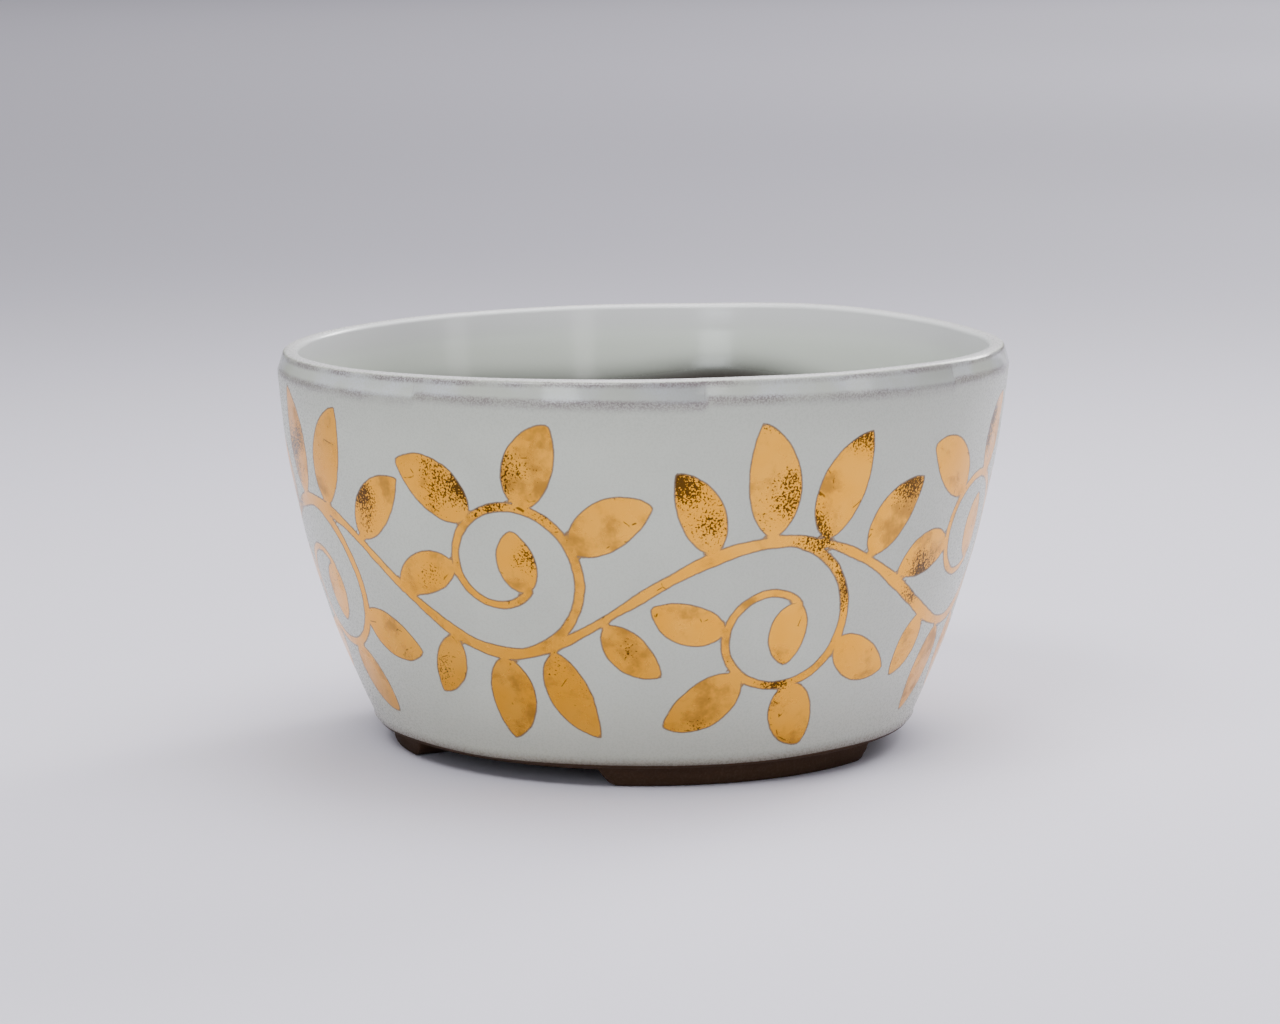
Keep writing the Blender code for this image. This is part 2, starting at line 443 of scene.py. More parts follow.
def cut_height(angle):
    """How high the foot ring is cut away at an angle: 0 on the feet, full in the cuts."""
    pitch = math.tau / FOOT_COUNT
    middle = FIRST_FOOT + pitch / 2
    away = np.abs((angle - middle + pitch / 2) % pitch - pitch / 2)
    climb = ((pitch - FOOT_ANGLE) / 2 - away) * FOOT_RADIUS / CUT_SLOPE * CUT_STEEPNESS
    return np.clip(climb, 0, 1) ** CUT_CURVE * (FOOT_HEIGHT - CUT_ROOT)


def stroke_share(angle):
    """How far along its stroke of the bevel an angle lies."""
    return ((angle - BEVEL_FIRST) / math.tau * BEVEL_STROKES) % 1


def stroke_number(angle):
    """Which stroke of the bevel an angle lies on."""
    return np.floor(((angle - BEVEL_FIRST) % math.tau) / math.tau * BEVEL_STROKES).astype(int)


def glaze_distance(profile, angle):
    """Millimetres into the glaze from its nearer edge, below zero on bare clay."""
    along = profile.along[:, None]
    lower = profile.along[profile.wall_first] - OUTER_BARE + 0.35 * ripple(angle, 0 * angle, 21, 30)
    tide = 0.5 * ripple(angle, 0 * angle, 8, 60)
    tide = tide - INNER_TIDE * bump(angle, INNER_TIDE_ANGLE, INNER_TIDE_SPREAD)
    tide = tide + INNER_LEAN * np.cos(angle)
    upper = profile.along[profile.crest] + INNER_GLAZED + tide
    return np.minimum(along - lower, upper - along)


def surface_relief(profile, angle):
    """How far the surface stands out from the true turned form, in millimetres."""
    along = profile.along[:, None]
    draw = random.Random(5)
    depths = [draw.uniform(-STROKE_DEPTH, STROKE_DEPTH) for _ in range(BEVEL_STROKES)]
    cut = np.array(depths)[stroke_number(angle)] + STROKE_STEP * (0.5 - stroke_share(angle))
    bevel = np.exp(-((along - profile.along[profile.bevel_top] + BEVEL_CENTRE) / BEVEL_SPREAD) ** 2)

    ease = SURFACE_UNEVEN * ripple(angle, along, 3, 30) - SURFACE_EASE
    thrown = THROWN_DEPTH * np.sin(along / THROWN_LENGTH + 0.8 * np.sin(angle))
    thrown = thrown * (along > profile.along[profile.wall_first])
    above_base = profile.points[:, 1:] > BASE_HEIGHT + 1

    edge = glaze_distance(profile, angle)
    bead = BEAD_HEIGHT * np.exp(-((edge - BEAD_PLACE) / BEAD_SPREAD) ** 2)
    bead = bead * (edge > -1) * (profile.points[:, :1] < SHOULDER_RADIUS - 1)
    return (ease + thrown) * above_base - np.abs(cut) * bevel + bead


def shaped_surface(profile):
    """The bowl's surface in millimetres, one point for each profile row and column."""
    angle = column_angles()
    out = surface_relief(profile, angle)
    radius = profile.points[:, :1] + profile.normals[:, :1] * out
    height = profile.points[:, 1:] + profile.normals[:, 1:] * out
    height[FOOT_ROWS] = np.maximum(height[FOOT_ROWS], cut_height(angle))

    share = np.clip((height - BASE_HEIGHT) / (HEIGHT - BASE_HEIGHT), 0, 1)
    reach = radius / SHOULDER_RADIUS
    radius = radius - PRESSED_DEPTH * bump(angle, PRESSED_ANGLE, PRESSED_SPREAD) * reach * share ** 2
    corner = CORNER_RISE * bump(angle, CORNER_ANGLE, CORNER_SPREAD)
    warp = LIP_WARP * np.cos(2 * angle)
    east = radius * np.cos(angle)
    rise = (LIP_SLOPE * east + (corner - warp) * reach) * share ** 2
    bow = BODY_BOW * np.sin(math.pi * share)
    return np.stack([east - bow, radius * np.sin(angle), height + rise], -1)


class Scroll:
    """Strokes of the vine scroll on the unrolled wall: angles, distances up the wall, half widths."""

    def __init__(self, profile, settings):
        rows = slice(profile.wall_first, profile.wall_last + 1)
        self.up = profile.along[rows] - profile.along[profile.wall_first]
        self.radii = profile.points[rows, 0]
        self.waves = settings.waves
        self.stem_half = settings.stem_width / MM / 2
        self.draw = random.Random(SCROLL_SEED)
        self.strokes = []
        self.main_stem()
        for number in range(2 * self.waves):
            self.curl(number)
            self.crest(number)

    def radius(self, up):
        """The wall's radius at a distance up it."""
        return float(np.interp(up, self.up, self.radii))

    def jitter(self, size):
        """A small chance difference, as between strokes of a brush."""
        return self.draw.uniform(-size, size)

    def stem_height(self, angle):
        """How far up the wall the main stem runs at an angle."""
        drift = 1.2 * math.sin(2 * angle + 1.0) + 0.9 * math.sin(7 * angle + 0.4)
        return SCROLL_MIDDLE + SCROLL_SWING * math.sin(self.waves * angle) + drift

    def extreme(self, number, low):
        """Angle of a low or high point of the stem, and the side its hollow is on."""
        first = -1 if low else 1
        angle = (first * math.pi / 2 + math.tau * (number // 2)) / self.waves
        if number % 2:
            return angle + math.pi / self.waves, -1
        return angle, 1

    def main_stem(self):
        """The waved stem that runs once round the bowl, thick and thin as a brush leaves it."""
        points = []
        for step in range(STEM_STEPS + 1):
            angle = -math.pi + math.tau * step / STEM_STEPS
            half = self.stem_half * (1 + 0.2 * math.sin(9 * angle + 1.3) + 0.1 * math.sin(31 * angle))
            points.append((angle, self.stem_height(angle), half))
        self.strokes.append(np.array(points))

    def leaf(self, angle, up, heading, length, half_width, bend, stalk):
        """A pointed oval leaf that grows from a place on the wall and bends to one side."""
        steps = int((length + stalk) / LEAF_STEP)
        step = (length + stalk) / steps
        points = []
        for index in range(steps + 1):
            share = (index * step - stalk) / length
            if share <= 0:
                half = STALK_HALF
            else:
                half = half_width * math.sin(math.pi * min(share, 1) ** 0.82) ** 0.85
                half = max(half, TIP_HALF if share > 0.5 else STALK_HALF)
            points.append((angle, up, half))
            turned = heading + bend * (share * 2 - 0.6)
            angle += step * math.cos(turned) / self.radius(up)
            up += step * math.sin(turned)
        self.strokes.append(np.array(points))

    def curl(self, number):
        """A side stem that curls in over a hollow of the main stem, with its leaves."""
        angle, side = self.extreme(number, True)
        reach = SCROLL_REACH + self.jitter(0.4)
        turn = math.radians(CURL_TURN + self.jitter(12))
        centre = self.stem_height(angle) + side * reach
        points = []
        for step in range(CURL_STEPS + 1):
            share = step / CURL_STEPS
            round_to = side * (math.radians(CURL_START) + turn * share)
            away = SCROLL_HEART + (reach - SCROLL_HEART) * (1 - share) ** 1.25
            up = centre + away * math.sin(round_to)
            points.append((angle + away * math.cos(round_to) / self.radius(up), up, 1.1 - 0.3 * share))
        self.strokes.append(np.array(points))
        heart, up, _ = points[-1]
        heading = round_to + math.pi - side * 0.55
        length, half = HEART_LEAF
        self.leaf(heart, up, heading, length + self.jitter(0.7), half, -side * 0.3, 0.8)
        scale = self.radius(centre) / MEAN_RADIUS
        for place, heading, length, half in CURL_LEAVES:
            index = int(math.radians(place - CURL_START) / turn * CURL_STEPS)
            start = points[min(index, CURL_STEPS)]
            bend = side * (0.3 if heading > 90 else -0.3)
            turned = side * math.radians(heading + self.jitter(5))
            length = (length + self.jitter(1.0)) * scale
            half = (half + self.jitter(0.25)) * scale
            self.leaf(start[0], start[1], turned, length, half, bend, 1.2)

    def crest(self, number):
        """Leaves that stand on a crest of the main stem."""
        angle, side = self.extreme(number, False)
        scale = self.radius(self.stem_height(angle) + side * 10) / MEAN_RADIUS
        for place, heading, length, half in CREST_LEAVES:
            start = angle + place / MEAN_RADIUS
            bend = side * (0.25 if place < 0 else -0.25)
            turned = side * math.radians(heading + self.jitter(5))
            length = (length + self.jitter(1.2)) * scale
            half = (half + self.jitter(0.25)) * scale
            self.leaf(start, self.stem_height(start), turned, length, half, bend, 1.8)

    def nearness(self, run):
        """The part of the wall near a run of a stroke, and how far each place lies from its edge."""
        reach = run[:, 2].max() + EDGE_REACH
        low, high = run[:, 1].min() - reach, run[:, 1].max() + reach
        rows = np.flatnonzero((self.up > low) & (self.up < high))
        middle = (run[:, 0].min() + run[:, 0].max()) / 2
        half = (run[:, 0].max() - run[:, 0].min()) / 2 + reach / BASE_RADIUS
        turned = (column_angles() - middle + math.pi) % math.tau - math.pi
        columns = np.flatnonzero(np.abs(turned) < half)
        radius = (self.radii[rows][:, None, None] + np.interp(run[:, 1], self.up, self.radii)) / 2
        east = (turned[columns][None, :, None] + middle - run[:, 0]) * radius
        north = self.up[rows][:, None, None] - run[:, 1]
        away = np.hypot(east, north) - run[:, 2]
        return np.ix_(rows, columns), away.min(2)

    def distances(self):
        """For each place on the wall: millimetres to the gold's edge, and its stroke's tone."""
        shape = (len(self.up), COLUMNS)
        gold = np.full(shape, FAR_FROM_GOLD)
        tone = np.full(shape, MIDDLE_TONE)
        for points in self.strokes:
            shade = self.draw.random()
            for first in range(0, len(points) - 1, RUN_LENGTH):
                window, away = self.nearness(points[first:first + RUN_LENGTH + 1])
                closer = away < gold[window]
                gold[window] = np.where(closer, away, gold[window])
                tone[window] = np.where(closer, shade, tone[window])
        return gold, tone


def turned_tree():
    """Node tree that turns a profile's points into a closed body, with each vertex's row and column."""
    tree = bpy.data.node_groups.new("Turned body", "GeometryNodeTree")
    for name, kind in (("Profile", "Geometry"), ("Columns", "Int"), ("Rows", "Int"), ("Finish", "Material")):
        tree.interface.new_socket(name, in_out="INPUT", socket_type="NodeSocket" + kind)
    tree.interface.new_socket("Body", in_out="OUTPUT", socket_type="NodeSocketGeometry")
    given = add_node(tree, "NodeGroupInput").outputs
    grid = add_node(tree, "GeometryNodeMeshGrid", {
        "Size X": 1.0,
        "Size Y": 1.0,
        "Vertices X": maths(tree, "ADD", given["Columns"], 1.0),
        "Vertices Y": given["Rows"],
    })
    place = add_node(tree, "GeometryNodeInputPosition").outputs[0]
    spot = add_node(tree, "ShaderNodeSeparateXYZ", {0: place}).outputs
    turn = maths(tree, "ADD", spot["X"], 0.5)
    climb = maths(tree, "ADD", spot["Y"], 0.5)
    column = maths(tree, "ROUND", maths(tree, "MULTIPLY", turn, given["Columns"]))
    column = maths(tree, "MODULO", column, given["Columns"])
    last_row = maths(tree, "SUBTRACT", given["Rows"], 1.0)
    row = maths(tree, "ROUND", maths(tree, "MULTIPLY", climb, last_row))
    body = grid.outputs["Mesh"]
    for name, value in (("row", row), ("column", column)):
        named = {"Geometry": body, "Name": name}
        mark = add_node(tree, "GeometryNodeStoreNamedAttribute", named, data_type="INT")
        tree.links.new(value, mark.inputs["Value"])
        body = mark.outputs["Geometry"]
    points = {"Geometry": given["Profile"]}
    sample = add_node(tree, "GeometryNodeSampleIndex", points, data_type="FLOAT_VECTOR")
    tree.links.new(place, sample.inputs["Value"])
    tree.links.new(row, sample.inputs["Index"])
    turning = {"Vector": sample.outputs[0], "Angle": maths(tree, "MULTIPLY", turn, math.tau)}
    turned = add_node(tree, "ShaderNodeVectorRotate", turning, rotation_type="Z_AXIS").outputs[0]
    steps = (
        ("GeometryNodeSetPosition", {"Position": turned}),
        ("GeometryNodeMergeByDistance", {"Distance": 0.000001}),
        ("GeometryNodeSetShadeSmooth", {}),
        ("GeometryNodeRealizeInstances", {}),
        ("GeometryNodeSetMaterial", {"Material": given["Finish"]}),
    )
    for kind, inputs in steps:
        body = add_node(tree, kind, {"Geometry": body, **inputs}).outputs["Geometry"]
    add_node(tree, "NodeGroupOutput", {"Body": body})
    return tree


def turned_mesh(profile, material):
    """The true turned body as a plain mesh."""
    mesh = bpy.data.meshes.new("profile")
    mesh.from_pydata([(radius * MM, 0, height * MM) for radius, height in profile.points], [], [])
    blank = bpy.data.objects.new("profile", mesh)
    bpy.context.scene.collection.objects.link(blank)
    tree = turned_tree()
    modifier = blank.modifiers.new("Turned body", "NODES")
    modifier.node_group = tree
    values = {"Columns": COLUMNS, "Rows": profile.rows, "Finish": material}
    for socket in tree.interface.items_tree:
        if socket.in_out == "INPUT" and socket.name in values:
            modifier[socket.identifier] = values[socket.name]
    depsgraph = bpy.context.evaluated_depsgraph_get()
    turned = bpy.data.meshes.new_from_object(blank.evaluated_get(depsgraph), depsgraph=depsgraph)
    blank.modifiers.clear()
    bpy.data.objects.remove(blank)
    if not turned.polygons:
        raise RuntimeError("The turned body came out empty")
    return turned


def painted_layers(profile, settings):
    """The numbers that each place of the surface carries for its shading, by name."""
    angle = column_angles()
    shape = (profile.rows, COLUMNS)
    layers = {"gold": np.full(shape, FAR_FROM_GOLD), "tone": np.full(shape, MIDDLE_TONE)}
    wall = slice(profile.wall_first, profile.wall_last + 1)
    layers["gold"][wall], layers["tone"][wall] = Scroll(profile, settings).distances()
    layers["glaze"] = glaze_distance(profile, angle)
    layers["lip"] = np.repeat(profile.along[:, None] - profile.along[profile.crest], COLUMNS, 1)
    stroke = stroke_share(angle)
    near = np.minimum(stroke, 1 - stroke) * SHOULDER_RADIUS * math.tau / BEVEL_STROKES
    # Painted shade on the bevel: each stroke's listed share of shade, growing towards the stroke's end where
    # its step is.
    facet_shades = np.array(STROKE_SHADES)[stroke_number(angle)] * (0.15 + 0.85 * stroke ** 2)
    bevel = {"stroke": stroke, "grey": facet_shades, "step": np.exp(-(near / STEP_WIDTH) ** 2)}
    for name, values in bevel.items():
        layers[name] = np.repeat(values[None], profile.rows, 0)
    return layers


def store(mesh, name, values):
    """Gives each vertex a number under a name."""
    layer = mesh.attributes.new(name, "FLOAT", "POINT")
    layer.data.foreach_set("value", np.ascontiguousarray(values, dtype=np.float32))


def grid_values(mesh, name):
    """The whole number that each vertex carries under a name."""
    values = np.zeros(len(mesh.vertices), dtype=np.int32)
    mesh.attributes[name].data.foreach_get("value", values)
    return values


def unwrap(mesh, profile, row, column):
    """Lays the surface out flat: the outside in three strips, the underside and inside as two discs."""
    starts = np.zeros(len(mesh.polygons), dtype=np.int32)
    mesh.polygons.foreach_get("loop_start", starts)
    corners = np.zeros(len(mesh.loops), dtype=np.int32)
    mesh.loops.foreach_get("vertex_index", corners)
    face = np.repeat(np.arange(len(starts)), np.diff(np.append(starts, len(corners))))
    rows = row[corners]
    columns = column[corners]
    at_seam = np.maximum.reduceat(columns, starts)[face] > COLUMNS * 0.75
    columns = np.where(at_seam & (columns < COLUMNS * 0.25), columns + COLUMNS, columns)
    lowest = np.minimum.reduceat(rows, starts)[face]

    along = profile.along[rows]
    wall_start = profile.along[profile.wall_first]
    lip_end = profile.along[profile.lip_last]
    up = (along - wall_start) / (lip_end - wall_start)
    strip = np.minimum.reduceat(columns, starts)[face] * STRIPS // COLUMNS
    flat = np.stack([
        (columns * STRIPS / COLUMNS - strip) * STRIP_SHARE,
        (strip + STRIP_MARGIN + (1 - 2 * STRIP_MARGIN) * up) / STRIPS,
    ], 1)
    turn = columns * math.tau / COLUMNS
    disc = np.stack([np.cos(turn), np.sin(turn)], 1) * DISC_RADIUS
    under = (along / wall_start)[:, None]
    inside = ((profile.along[-1] - along) / (profile.along[-1] - lip_end))[:, None]
    flat = np.where((lowest < profile.wall_first)[:, None], UNDER_CENTRE + disc * under, flat)
    flat = np.where((lowest >= profile.lip_last)[:, None], INSIDE_CENTRE + disc * inside, flat)
    layer = mesh.uv_layers.new(name="OFBake")
    layer.data.foreach_set("uv", flat.astype(np.float32).ravel())


def per_metre(size_mm):
    """A texture's scale for a pattern of that size."""
    return 1 / (size_mm * MM)


def darker(colour, share):
    """The same colour with a share of its light."""
    return [value * share for value in colour]


class Shading:
    """One material, and short ways to join numbers and colours in it."""

    def __init__(self, name):
        self.material = bpy.data.materials.new(name)
        self.material.use_nodes = True
        self.tree = self.material.node_tree
        self.shader = self.tree.nodes["Principled BSDF"]
        self.place = self.node("ShaderNodeTexCoord").outputs["Object"]

    def node(self, kind, inputs=None, **settings):
        """Adds a node to this material."""
        return add_node(self.tree, kind, inputs, **settings)

    def plus(self, first, second):
        """The sum of two numbers."""
        return maths(self.tree, "ADD", first, second)

    def minus(self, first, second):
        """The difference of two numbers."""
        return maths(self.tree, "SUBTRACT", first, second)

    def times(self, first, second):
        """The product of two numbers."""
        return maths(self.tree, "MULTIPLY", first, second)

    def larger(self, first, second):
        """The larger of two numbers."""
        return maths(self.tree, "MAXIMUM", first, second)

    def number(self, name):
        """A number that the vertices carry."""
        return self.node("ShaderNodeAttribute", attribute_name=name).outputs["Fac"]

    def noise(self, size_mm, detail=2.0, rough=0.5):
        """Cloudy noise with spots of a size, from 0 to 1."""
        inputs = {"Vector": self.place, "Scale": per_metre(size_mm), "Detail": detail, "Roughness": rough}
        return self.node("ShaderNodeTexNoise", inputs).outputs["Fac"]

    def swing(self, noise, size):
        """Noise as a swing to both sides of zero."""
        return self.times(self.minus(noise, 0.5), size)

    def cells(self, size_mm, **settings):
        """Distance in a pattern of cells of a size."""
        inputs = {"Vector": self.place, "Scale": per_metre(size_mm)}
        return self.node("ShaderNodeTexVoronoi", inputs, **settings).outputs["Distance"]

    def ramp(self, value, low, high, to_low=0.0, to_high=1.0):
        """A soft step from one number to another while a value goes from low to high."""
        inputs = {"Value": value, "From Min": low, "From Max": high, "To Min": to_low, "To Max": to_high}
        return self.node("ShaderNodeMapRange", inputs, interpolation_type="SMOOTHSTEP").outputs["Result"]

    def mix(self, share, first, second):
        """Two colours mixed, the second by its share."""
        made = self.node("ShaderNodeMix", {0: share}, data_type="RGBA")
        for key, value in ((6, first), (7, second)):
            if isinstance(value, bpy.types.NodeSocket):
                self.tree.links.new(value, made.inputs[key])
            else:
                made.inputs[key].default_value = (*value[:3], 1)
        return made.outputs[2]

    def blend(self, share, first, second):
        """Two numbers mixed, the second by its share."""
        return self.node("ShaderNodeMix", {0: share, 2: first, 3: second}, data_type="FLOAT").outputs[0]

    def link(self, socket, name):
        """Feeds an input of the surface shader."""
        self.tree.links.new(socket, self.shader.inputs[name])


class FiredSurface(Shading):
    """Celadon glazed stoneware, reduction fired, with gold lustre from a third firing.

    The glaze is glassy but softened by fine crystals, so it has a broad satin shine and a milky,
    speckled colour. It runs thin over the lip and shows lilac and brown there. The gold is a true metal
    film: mirror-like, warm, dulled where it went on thin, with a dark edge. The bare clay is dark,
    dry and gritty. Some colours are painted light: partly painted shade low on the wall, a paler inside
    that darkens with depth, shade on the bevel's strokes, a highlight under the lip, dark reflection in the
    gold.
    """

    def __init__(self, settings):
        super().__init__("Celadon stoneware with gold lustre")
        self.settings = settings
        self.tone = self.number("tone")
        # Painted shade of the bevel's strokes, carried by each vertex.
        self.grey = self.number("grey")
        self.height = self.node("ShaderNodeSeparateXYZ", {0: self.place}).outputs["Z"]
        self.cloud = self.noise(26, 3.0)
        self.speckle = self.noise(0.45, 2.0, 0.7)
        self.sand = self.noise(0.5, 2.0, 0.6)
        self.grainy = self.ramp(self.noise(0.35, 1.0), 0.35, 0.65)
        grit = self.noise(0.9, 3.0, 0.6)

        # Millimetres from the crest of the lip, below zero outside, and from each stroke's lower edge
        self.lip = self.number("lip")
        self.worn = self.plus(self.lip, self.swing(grit, 0.7))
        self.lower_edge = self.plus(self.worn, self.number("stroke"))
        self.band = self.times(self.ramp(self.lower_edge, -5.4, -4.6), self.ramp(self.worn, -1.4, -1.9))
        self.inside = self.ramp(self.lip, 0.0, 4.0)
        self.glossy = self.larger(self.times(self.band, 0.17), self.times(self.inside, 0.14))

        # Where glaze covers the clay: sharply outside, thinning out inside
        self.frayed = self.plus(self.number("glaze"), self.swing(grit, 0.35))
        soft = self.blend(self.inside, 0.12, 1.6)
        self.glazed = self.ramp(self.frayed, self.times(soft, -1.0), soft)

        # Where gold covers the glaze, its dark outline, and how dulled it is
        shaky = self.plus(self.number("gold"), self.swing(self.noise(3.5), 0.5))
        self.gilt = self.ramp(shaky, 0.05, -0.05)
        rim = self.times(self.ramp(shaky, -0.34, -0.08), self.ramp(shaky, 0.2, 0.08))
        self.dark_edge = self.times(rim, 0.8)
        dulled = self.plus(self.noise(8, 4.0, 0.65), self.times(self.tone, 0.1))
        self.dull = self.times(self.ramp(dulled, 0.54, 0.76), 0.75)

        surface = self.bevel_lines(self.lip_glaze(self.wall_glaze()))
        self.link(self.gold_film(self.glaze_end(surface)), "Base Color")
        self.shine()
        self.relief()

    def wall_glaze(self):
        """Milky glaze of the wall: cloudy, finely speckled, darker below the bevel, and darker and browner
        towards the foot, partly as painted shade.
        """
        colours = self.settings
        body = self.mix(self.ramp(self.cloud, 0.35, 0.65), colours.glaze, darker(colours.glaze, 0.93))
        specks = self.ramp(self.speckle, 0.35, 0.75, 0.0, 0.15)
        body = self.mix(specks, body, darker(colours.glaze, 0.7))
        # Painted shade in part: the glaze turns darker and browner towards the foot, for the lower wall's
        # shade as well as thinner glaze.
        body = self.mix(self.ramp(self.height, 24 * MM, 4 * MM, 0.0, 0.8), body, colours.low_glaze_and_shade)
        under = self.ramp(self.lower_edge, -15.0, -7.0, 0.0, 0.8)
        under = self.times(under, self.ramp(self.lower_edge, -4.6, -5.4))
        return self.mix(under, body, darker(colours.glaze, 0.87))

    def lip_glaze(self, body):
        """Glaze of the lip: bluish and grey on the bevel, the grey as painted shade on its strokes; thin over
        the crest; inside, a paler glaze as painted light that darkens deeper down as painted shade, and a
        whitish painted highlight just under the crest.
        """
        colours = self.settings
        pooled = self.times(self.ramp(self.noise(14), 0.35, 0.6), self.ramp(self.grainy, 0.0, 1.0, 0.45, 0.9))
        body = self.mix(self.times(self.band, pooled), body, colours.glaze_band)
        # Painted shade: strokes of the bevel turned from the light get the grey facet colour.
        body = self.mix(self.times(self.band, self.times(self.grey, 0.8)), body, colours.facet_shade)
        # Painted light and shade inside: the paler glaze is strongest a few millimetres under the crest and
        # gives way deeper down, so the inside darkens with depth as painted shade.
        inner = self.times(self.ramp(self.worn, 1.0, 5.0), self.ramp(self.worn, 5.0, 17.0, 0.95, 0.6))
        body = self.mix(inner, body, colours.lit_inner_glaze)
        thin = self.times(self.ramp(self.worn, -1.5, -1.1), self.ramp(self.worn, 7.5, 3.0))
        body = self.mix(self.times(thin, 0.9), body, colours.glaze_thin)
        # Painted highlight: a whitish band just inside the crest of the lip.
        pale = self.times(self.ramp(self.worn, 0.6, 1.6), self.ramp(self.worn, 11.0, 2.5, 0.0, 0.92))
        return self.mix(pale, body, colours.lip_highlight_glaze)

    def bevel_lines(self, body):
        """Grainy dark lines where the glaze breaks over the edges of the bevel and of its strokes."""
        upper = self.times(self.ramp(self.worn, -3.1, -2.2), self.ramp(self.worn, -1.3, -1.75))
        # The upper line is stronger where the strokes carry painted shade.
        patchy = self.larger(self.ramp(self.noise(9), 0.35, 0.6, 0.35, 0.9), self.grey)
        lower = self.times(self.ramp(self.lower_edge, -7.4, -5.2), self.ramp(self.lower_edge, -4.0, -4.9))
        broken = self.ramp(self.noise(12), 0.3, 0.6, 0.35, 0.85)
        lines = self.larger(self.times(upper, patchy), self.times(lower, broken))
        step = self.times(self.ramp(self.number("step"), 0.72, 0.95, 0.0, 0.6), self.band)
        lines = self.times(self.larger(lines, step), self.ramp(self.grainy, 0.0, 1.0, 1.0, 0.5))
        return self.mix(lines, body, self.settings.glaze_break)

    def glaze_end(self, body):
        """The glaze thins to brown along its edge, and the clay past it is bare, sandy and clouded."""
        colours = self.settings
        fade = self.ramp(self.frayed, self.blend(self.inside, 3.6, 8.0), -0.2)
        fade = self.times(maths(self.tree, "POWER", fade, 2.0), 0.9)
        body = self.mix(fade, body, self.mix(self.inside, colours.glaze_fade, colours.glaze_edge))
        clay = self.mix(self.inside, colours.clay, colours.clay_inside)
        clay = self.mix(self.ramp(self.sand, 0.4, 0.75, 0.0, 0.16), clay, (0.12, 0.09, 0.07))
        clay = self.mix(self.ramp(self.cloud, 0.3, 0.7, 0.0, 0.3), clay, darker(colours.clay, 0.7))
        return self.mix(self.glazed, clay, body)

    def flaws(self):
        """Short scratches and small pits in the gold."""
        cracks = self.ramp(self.cells(7, feature="DISTANCE_TO_EDGE"), 0.02, 0.008)
        scratches = self.times(cracks, self.ramp(self.noise(3.1), 0.6, 0.66))
        return self.larger(scratches, self.ramp(self.cells(9), 0.045, 0.02))

    def gold_film(self, surface):
        """Gold in uneven washes, with dulled patches, dark grains of painted reflection that grow towards the
        top of the wall, dark scratches and pits, and a thin dark outline.
        """
        colours = self.settings
        # Painted reflection: dark grains in the gold, more of them towards the top of the wall, where it
        # faces dark surroundings; scratches and pits are real flaws in the same colour.
        reflection_rise = self.ramp(self.height, 46 * MM, 72 * MM, 0.0, 0.3)
        wash = self.times(self.plus(self.noise(15, 1.0), self.times(self.tone, 0.08)), 2.2)
        reflection_grains = self.plus(self.plus(wash, reflection_rise), self.swing(self.noise(0.42, 1.0), 1.1))
        dark_reflection_and_flaws = self.larger(self.times(self.ramp(reflection_grains, 1.6, 1.78), 0.92), self.times(self.flaws(), 0.8))
        thick = self.ramp(self.noise(11, 2.0), 0.35, 0.7, 0.0, 0.3)
        metal = self.mix(thick, colours.gold, colours.gold_pale)
        metal = self.mix(self.dull, metal, colours.tarnish)
        metal = self.mix(dark_reflection_and_flaws, metal, colours.dark_reflection_and_flaws)
        surface = self.mix(self.gilt, surface, metal)
        return self.mix(self.dark_edge, surface, colours.outline)

    def shine(self):
        """Satin on the wall, glassier on the bevel and inside, dry on clay, bright and metallic on gold."""
        satin = self.minus(self.ramp(self.speckle, 0.3, 0.8, 0.24, 0.36), self.glossy)
        bright_gold = self.ramp(self.noise(5, 3.0), 0.3, 0.7, 0.16, 0.3)
        gilt_rough = self.blend(self.dull, bright_gold, 0.42)
        rough = self.blend(self.gilt, self.blend(self.glazed, 0.9, satin), gilt_rough)
        self.link(rough, "Roughness")
        self.link(self.times(self.gilt, self.minus(1.0, self.times(self.dark_edge, 0.6))), "Metallic")
        self.link(self.blend(self.glazed, 0.15, 0.5), "Specular IOR Level")
        self.shader.inputs["IOR"].default_value = 1.5

    def relief(self):
        """Fine relief: orange peel in the glaze, sand and soft throwing rings in the clay inside."""
        peel = self.noise(1.1, 2.0)
        turning = self.plus(self.times(self.lip, math.tau / THROWING_PITCH), self.times(self.cloud, 9.0))
        rings = self.times(maths(self.tree, "SINE", turning), self.times(self.inside, 4.0))
        rings = self.times(rings, self.ramp(self.noise(20, 1.0), 0.35, 0.65))
        dry = self.plus(self.times(self.sand, self.blend(self.inside, 4.0, 2.0)), rings)
        smooth = self.times(peel, self.ramp(self.glossy, 0.0, 0.15, 0.3, 0.2))
        skin = self.blend(self.gilt, self.blend(self.glazed, dry, smooth), self.times(peel, 1.4))
        bumps = self.node("ShaderNodeBump", {"Height": skin, "Strength": 1.0, "Distance": 0.02 * MM})
        self.link(bumps.outputs["Normal"], "Normal")


def paper_surface(settings):
    """Matte background paper: no shine, a faint grain."""
    look = Shading("Matte paper floor")
    grain = look.ramp(look.noise(0.8, 2.0), 0.3, 0.7, 0.0, 0.12)
    look.link(look.mix(grain, settings.paper, darker(settings.paper, 0.95)), "Base Color")
    look.shader.inputs["Roughness"].default_value = 0.9
    look.shader.inputs["Specular IOR Level"].default_value = 0.2
    return look.material


def plain_object(name, data):
    """An object of its own in the scene."""
    made = bpy.data.objects.new(name, data)
    bpy.context.scene.collection.objects.link(made)
    return made


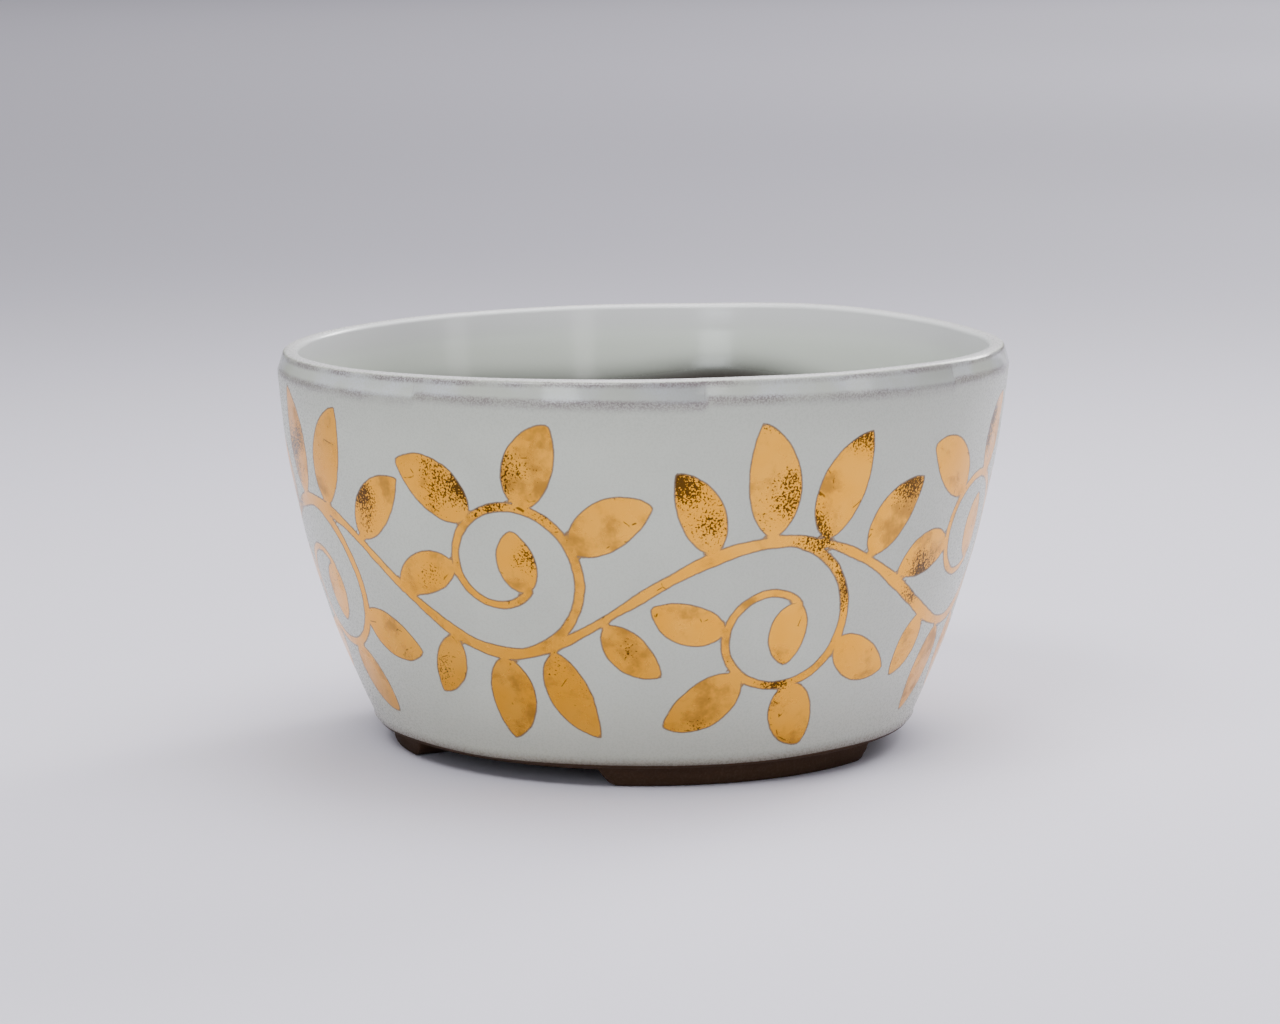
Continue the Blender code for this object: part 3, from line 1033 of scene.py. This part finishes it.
class BOWL_OT_throw(bpy.types.Operator):
    """Turn the bowl, shape it, paint its scroll and glaze it"""

    bl_idname = "bowl.throw"
    bl_label = "Throw and gild the bowl"

    def execute(self, context):
        settings = context.scene.bowl_finish
        profile = Profile()
        mesh = turned_mesh(profile, FiredSurface(settings).material)
        row = grid_values(mesh, "row")
        column = grid_values(mesh, "column")
        places = shaped_surface(profile)[row, column] * MM
        mesh.vertices.foreach_set("co", places.astype(np.float32).ravel())
        for name, values in painted_layers(profile, settings).items():
            store(mesh, name, values[row, column])
        unwrap(mesh, profile, row, column)
        for name in ("row", "column"):
            mesh.attributes.remove(mesh.attributes[name])
        mesh.update()
        mesh.name = "stoneware_bowl"
        bowl = plain_object("stoneware_bowl", mesh)
        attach(bowl, "root")
        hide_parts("bowl")
        return {"FINISHED"}


def softbox(name, place, aim, size, power, spread, colour):
    """A rectangular area light that faces a point."""
    lamp = bpy.data.lights.new(name, "AREA")
    lamp.shape = "RECTANGLE"
    lamp.size, lamp.size_y = size
    lamp.energy = power
    lamp.spread = math.radians(spread)
    lamp.color = colour
    made = plain_object(name, lamp)
    made.location = place
    made.rotation_mode = "QUATERNION"
    made.rotation_quaternion = (Vector(aim) - Vector(place)).to_track_quat("-Z", "Y")


def light_room(settings):
    """Even light from all round, as in a pale room."""
    world = bpy.data.worlds.new("Room")
    world.use_nodes = True
    back = world.node_tree.nodes["Background"]
    back.inputs["Color"].default_value = (*settings.sky, 1)
    back.inputs["Strength"].default_value = settings.sky_strength
    bpy.context.scene.world = world


def set_camera():
    """The camera at the height and distance that the bowl is seen from."""
    lens = bpy.data.cameras.new("Camera")
    lens.sensor_width = SENSOR_WIDTH
    lens.lens = CAMERA_LENS
    lens.clip_start = 0.05
    lens.clip_end = 50
    camera = plain_object("Camera", lens)
    camera.location = CAMERA_PLACE
    camera.rotation_euler = (CAMERA_PITCH, 0, 0)
    bpy.context.scene.camera = camera


class BOWL_OT_stage(bpy.types.Operator):
    """Lay the floor, hang the lights and set up the camera"""

    bl_idname = "bowl.stage"
    bl_label = "Lay the stage"

    def execute(self, context):
        settings = context.scene.bowl_stage
        bpy.ops.mesh.primitive_circle_add(vertices=128, radius=FLOOR_RADIUS, fill_type="NGON")
        floor = context.object
        floor.name = "paper_floor"
        floor.data.materials.append(paper_surface(settings))
        light_room(settings)
        for name, place, aim, size, power, share, spread, colour in LIGHTS:
            softbox(name, place, aim, size, getattr(settings, power) * share, spread, colour)
        set_camera()
        return {"FINISHED"}


class BOWL_PT_panel(bpy.types.Panel):
    """Steps and settings of the bowl."""

    bl_idname = "BOWL_PT_panel"
    bl_label = "Stoneware bowl"
    bl_space_type = "VIEW_3D"
    bl_region_type = "UI"
    bl_category = "Bowl"

    def draw(self, context):
        layout = self.layout
        for group in (context.scene.bowl_finish, context.scene.bowl_stage):
            for name in group.__annotations__:
                layout.prop(group, name)
        layout.operator(BOWL_OT_throw.bl_idname)
        layout.operator(BOWL_OT_stage.bl_idname)


CLASSES = (BowlFinish, BowlStage, BOWL_OT_throw, BOWL_OT_stage, BOWL_PT_panel)


def register():
    """Makes the settings, the steps and the panel known to Blender."""
    for item in CLASSES:
        bpy.utils.register_class(item)
    bpy.types.Scene.bowl_finish = PointerProperty(type=BowlFinish)
    bpy.types.Scene.bowl_stage = PointerProperty(type=BowlStage)


def unregister():
    """Takes them away again."""
    del bpy.types.Scene.bowl_stage
    del bpy.types.Scene.bowl_finish
    for item in reversed(CLASSES):
        bpy.utils.unregister_class(item)


def main():
    """Make the bowl and its stage."""
    register()
    bpy.ops.bowl.throw()
    bpy.ops.bowl.stage()


if __name__ == "__main__":
    main()
